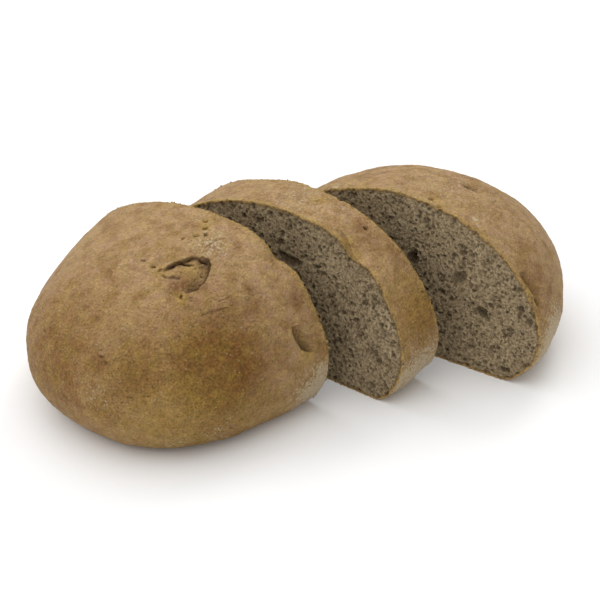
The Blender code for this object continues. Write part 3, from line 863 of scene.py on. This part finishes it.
# Loose crumbs that cling to the cut rims: a few large ones where the photo has them and small ones
# all along. Each is a small closed lump of crumb, half sunk in the rim.
# Place and radius of the large ones
CLINGING = {
    "left heel's rim": ((-0.0256, -0.0662, 0.0452), 0.0011),
    "over it": ((-0.0256, -0.065, 0.0478), 0.0007),
    "left heel's rim, lower": ((-0.0256, -0.0695, 0.0355), 0.00105),
    "under that": ((-0.0256, -0.0702, 0.0325), 0.0009),
    "slice's rim": ((-0.0256, -0.0571, 0.0605), 0.0006),
    "slice's rim, lower": ((-0.0256, -0.0608, 0.0553), 0.00055),
    "slice's foot": ((-0.0256, -0.0706, 0.0247), 0.0009),
    "slice's far rim": ((-0.0008, -0.062, 0.0533), 0.00055),
    "slice's far rim, lower": ((-0.0008, -0.0676, 0.0454), 0.00065),
}
CRUMBS_PER_RIM = 70
CRUMB_RADII = (0.00015, 0.00038)
CRUMB_STRETCH = (0.5, 1.5)
CRUMB_LUMPINESS = 0.9
LUMPS_PER_RADIUS = 1.3
# The crumbs are coloured like the rind at this depth
CRUMB_DEPTH = 0.0009


def add_crumbs(mesh, rim, place, seed):
    """Add crumbs along one cut's rim, given as points, to a piece's mesh."""
    draws = np.random.default_rng(seed)
    rows = draws.integers(len(rim), size=CRUMBS_PER_RIM)
    spots = [(rim[row], draws.uniform(*CRUMB_RADII)) for row in rows]
    spots += [spot for spot in CLINGING.values() if abs(spot[0][0] - place) < 1e-5]
    heap = bmesh.new()
    for centre, radius in spots:
        centre = Vector(centre)
        centre.z = max(centre.z, 2 * radius)
        stretch = Vector(draws.uniform(*CRUMB_STRETCH, 3))
        for vert in bmesh.ops.create_icosphere(heap, subdivisions=2, radius=radius)["verts"]:
            # Thousandfold, the centre gives each crumb its own place in the noise
            lump = noise.noise(vert.co / radius * LUMPS_PER_RADIUS + centre * 1000)
            vert.co = centre + vert.co * stretch * (1.0 + CRUMB_LUMPINESS * lump)
    for face in heap.faces:
        face.material_index = 1
        face.smooth = True
    crumbs = bpy.data.meshes.new("crumbs")
    heap.to_mesh(crumbs)
    heap.free()
    both = bmesh.new()
    both.from_mesh(mesh)
    both.from_mesh(crumbs)
    both.to_mesh(mesh)
    both.free()
    bpy.data.meshes.remove(crumbs)


# The pieces stand as the knife left them, drawn apart on the table. The loaf's frame lies over the
# middle of the group, and the slice and the right heel are drawn forward from the left heel and
# turned a little about their own pivots on X.
GROUP_MIDDLE = (0.0044, -0.0344)
# Cracks and folds of this depth get the full painted shade, and how dark each kind's painted shade gets
DARK_DEPTH = 0.0018
DARKEST = 0.9
FOLD_DARKNESS = 0.4
DENT_DARKNESS = 0.7
# A fold's painted shade is this much wider than its step
FOLD_SHADE = 1.6
whole_loaf = bake_loaf()


def mark_strength(points, marks):
    strength = np.zeros(len(points))
    for centre, spread, peak in marks.values():
        distance = np.linalg.norm(points - centre, axis=1)
        strength = np.maximum(strength, peak * np.exp(-0.5 * (distance / spread) ** 2))
    return strength


def painted_crack_shade(points, normals):
    """How much painted shade each point gets for lying in a crack or a dent or on a fold's step."""
    strength = np.zeros(len(points))
    for line, half_width, depth in CRACKS.values():
        distance, _, taper = line_place(points, normals, line)
        dark = min(DARKEST, depth / DARK_DEPTH)
        strength = np.maximum(strength, dark * taper * np.exp(-(distance / half_width) ** 2))
    for line, step, _, depth, _ in FOLDS.values():
        distance, on_right, taper = line_place(points, normals, line)
        dark = FOLD_DARKNESS * min(2.0, depth / DARK_DEPTH) * on_right
        strength = np.maximum(strength, dark * taper * np.exp(-(distance / (FOLD_SHADE * step)) ** 2))
    for *place, depth in DENTS.values():
        dent = dent_depth(points, normals, *place, 1.0)
        strength = np.maximum(strength, min(DARKEST, DENT_DARKNESS * depth / DARK_DEPTH) * dent ** 2)
    return strength


def put_in_scene(name, data):
    item = bpy.data.objects.new(name, data)
    bpy.context.scene.collection.objects.link(item)
    return item


def make_piece(name, cuts, pivot, pull, turn):
    """One piece of the loaf. Each cut has its place, the side that stays, its cell size, pores and seed."""
    shape = whole_loaf.copy()
    for place, keep_side, spacing, _, _ in cuts:
        cut_through(shape, place, keep_side, spacing)
    for item in shape.faces:
        item.smooth = True
    mesh = bpy.data.meshes.new(name)
    bmesh.ops.recalc_face_normals(shape, faces=shape.faces[:])
    shape.to_mesh(mesh)
    shape.free()
    pore = np.zeros(len(mesh.vertices))
    rind = np.full(len(mesh.vertices), RIND_DEEPEST)
    rims = []
    for place, keep_side, _, large_pores, seed in cuts:
        cut_pore, cut_rind = pit_crumb(mesh, place, keep_side, large_pores, seed)
        pore = np.maximum(pore, cut_pore)
        rind = np.minimum(rind, cut_rind)
        rims.append((cut_rind == 0.0, place, seed))
    points = mesh_points(mesh)
    for on_rim, place, seed in rims:
        add_crumbs(mesh, points[on_rim], place, seed)
    added = len(mesh.vertices) - len(points)
    points = mesh_points(mesh)
    rim_distance = np.min([np.abs(points[:, 0] - cut[0]) for cut in cuts], axis=0)
    rim_gold = RIM_GOLD * np.exp(-(rim_distance / RIM_GOLD_WIDTH) ** 2)
    attributes = {
        "pore": np.append(pore, np.zeros(added)),
        "rind": np.append(rind, np.full(added, CRUMB_DEPTH)),
        # Pale crumb, and painted light high on the cut faces
        "pale_and_lit": mark_strength(points, PALE_AND_LIT_CRUMB),
        "floured": mark_strength(points, FLOURED),
        "reddened": mark_strength(points, REDDENED),
        "golden": np.maximum(mark_strength(points, GOLDEN), rim_gold),
        # Painted shade in cracks, dents and on the low sides of folds
        "painted_shade": painted_crack_shade(points, outward(points)),
        # Dust with its painted sheen everywhere but the rubbed places
        "dust_and_sheen": 1.0 - np.minimum(mark_strength(points, RUBBED_WITHOUT_SHEEN), 1.0),
    }
    for key, values in attributes.items():
        mesh.attributes.new(key, "FLOAT", "POINT").data.foreach_set("value", values.astype(np.float32))
    stand = (Matrix.Translation((pivot + pull[0] - GROUP_MIDDLE[0], pull[1] - GROUP_MIDDLE[1], 0.0))
             @ Matrix.Rotation(turn, 4, "Z") @ Matrix.Translation((-pivot, 0.0, 0.0)))
    mesh.transform(stand)
    mesh.materials.append(crust)
    mesh.materials.append(crumb)
    piece = put_in_scene(name, mesh)
    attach(piece, "root")
    return piece


# The left heel: the large end piece, whose crust fills the photo's left half. Its cut face looks away
# to the right. It carries the torn patch, the dent in its side and most of the flour.
left_heel = make_piece("left_heel_baked", [(FIRST_CUT, -1, 0.00055, FIRST_CUT_PORES, 11)],
                       0.0, (0.0, 0.0), 0.0)
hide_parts("left_heel")

# The middle slice: 25 mm thick, cut on both sides, drawn forward from the left heel. Its left cut face
# shows crumb, and its crust is a band all round.
middle_slice = make_piece("middle_slice_baked",
                          [(FIRST_CUT, 1, 0.0005, FIRST_CUT_PORES, 11),
                           (SECOND_CUT, -1, 0.0006, SECOND_CUT_PORES, 23)],
                          (FIRST_CUT + SECOND_CUT) / 2, (0.0203, -0.0272), math.radians(-1.84))
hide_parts("middle_slice")

# The right heel: the shorter end piece, drawn forward furthest. Its left cut face shows the most crumb,
# and the fold in its rim stands beside that face.
right_heel = make_piece("right_heel_baked", [(SECOND_CUT, 1, 0.0005, SECOND_CUT_PORES, 23)],
                        SECOND_CUT, (0.0383, -0.0664), math.radians(1.86))
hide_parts("right_heel")
whole_loaf.free()

# The table, light and camera: a plain white surface in a light tent, lit by the tent all round, by a
# large soft box over the left and by a smaller one behind, and a long lens from the left front.
FLOOR_SIZE = 8.0
FLOOR_WHITE = (0.94, 0.94, 0.94)
FLOOR_ROUGHNESS = 0.9
SKY_WHITE = (1.0, 1.0, 1.0)
SKY_STRENGTH = 0.66
# Place, size and power of each soft box
SOFT_BOXES = {
    "soft box on the left": ((-0.261, 0.367, 1.1), 2.2, 13.2),
    "soft box behind": ((0.994, 0.155, 1.1), 0.6, 3.5),
}
CAMERA_TARGET = Vector((0.0001, 0.0002, 0.0288))
CAMERA_TURN = math.radians(54.592)
CAMERA_DOWN = math.radians(31.694)
CAMERA_DISTANCE = 0.66247
CAMERA_LENS = 86.1
SENSOR_WIDTH = 36.0

floor_mesh = bpy.data.meshes.new("table")
floor_shape = bmesh.new()
bmesh.ops.create_grid(floor_shape, x_segments=1, y_segments=1, size=FLOOR_SIZE / 2)
floor_shape.to_mesh(floor_mesh)
floor_shape.free()
floor = put_in_scene("table", floor_mesh)
floor_material = bpy.data.materials.new("white_table")
floor_material.use_nodes = True
floor_shader = floor_material.node_tree.nodes["Principled BSDF"]
floor_shader.inputs["Base Color"].default_value = (*FLOOR_WHITE, 1.0)
floor_shader.inputs["Roughness"].default_value = FLOOR_ROUGHNESS
floor_mesh.materials.append(floor_material)

world = bpy.data.worlds.new("light tent")
world.use_nodes = True
sky = world.node_tree.nodes["Background"]
sky.inputs["Color"].default_value = (*SKY_WHITE, 1.0)
sky.inputs["Strength"].default_value = SKY_STRENGTH
bpy.context.scene.world = world

for name, (place, size, power) in SOFT_BOXES.items():
    lamp = bpy.data.lights.new(name, "AREA")
    lamp.shape = "DISK"
    lamp.size = size
    lamp.energy = power
    soft_box = put_in_scene(name, lamp)
    soft_box.location = place
    soft_box.rotation_euler = (-Vector(place)).to_track_quat("-Z", "Y").to_euler()

forward = Vector((math.sin(CAMERA_TURN) * math.cos(CAMERA_DOWN),
                  math.cos(CAMERA_TURN) * math.cos(CAMERA_DOWN),
                  -math.sin(CAMERA_DOWN)))
camera_data = bpy.data.cameras.new("camera")
camera_data.lens = CAMERA_LENS
camera_data.sensor_width = SENSOR_WIDTH
camera = put_in_scene("camera", camera_data)
camera.location = CAMERA_TARGET - forward * CAMERA_DISTANCE
camera.rotation_euler = forward.to_track_quat("-Z", "Y").to_euler()
bpy.context.scene.camera = camera
bpy.context.scene.view_settings.view_transform = "Standard"
